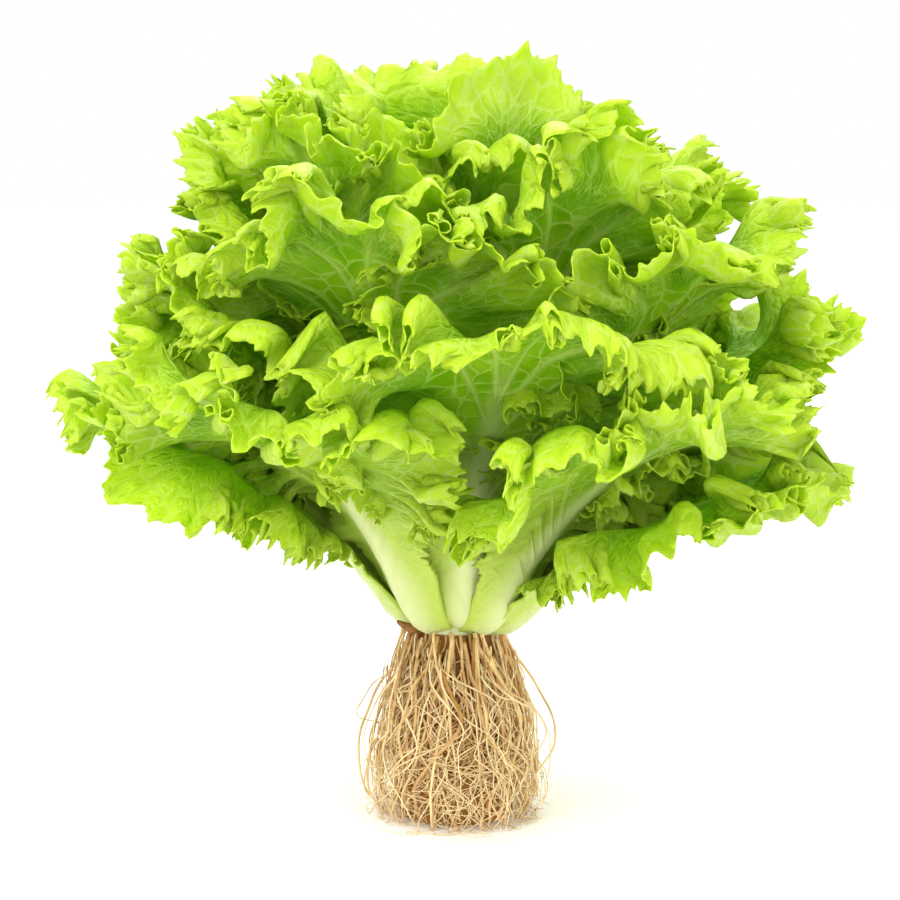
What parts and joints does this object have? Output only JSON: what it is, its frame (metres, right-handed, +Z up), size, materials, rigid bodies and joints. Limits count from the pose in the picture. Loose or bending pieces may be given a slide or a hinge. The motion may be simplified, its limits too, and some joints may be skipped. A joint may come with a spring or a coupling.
{
  "type": "head of lettuce",
  "caption": "Head of loose, frilly-edged green lettuce lifted whole, its leaves fanned round a short stem above a standing mat of bare roots.",
  "frame": {"origin": "on the surface that the root mat stands on, under the stem's axis", "axes": "+Z up along the stem, -Y to the front, where the spiral of leaves is open and the pale midribs show"},
  "size_m": [0.294, 0.2822, 0.2816],
  "materials": {
    "leaf": "fresh lettuce leaf, satin and slightly translucent",
    "stem": "pale fleshy stem, satin",
    "root": "dry fibrous roots, matte"
  },
  "bodies": {
    "root": {"leaf_01": "leaf", "leaf_02": "leaf", "leaf_03": "leaf", "leaf_04": "leaf", "leaf_05": "leaf", "leaf_06": "leaf", "leaf_07": "leaf", "leaf_08": "leaf", "leaf_09": "leaf", "leaf_10": "leaf", "leaf_11": "leaf", "leaf_12": "leaf", "leaf_13": "leaf", "leaf_14": "leaf", "leaf_15": "leaf", "leaf_16": "leaf", "leaf_17": "leaf", "leaf_18": "leaf", "leaf_19": "leaf", "leaf_20": "leaf", "leaf_21": "leaf", "leaf_22": "leaf", "leaf_23": "leaf", "leaf_24": "leaf", "leaf_25": "leaf", "leaf_26": "leaf", "leaf_27": "leaf", "stem": "stem", "roots": "root"}
  },
  "joints": []
}
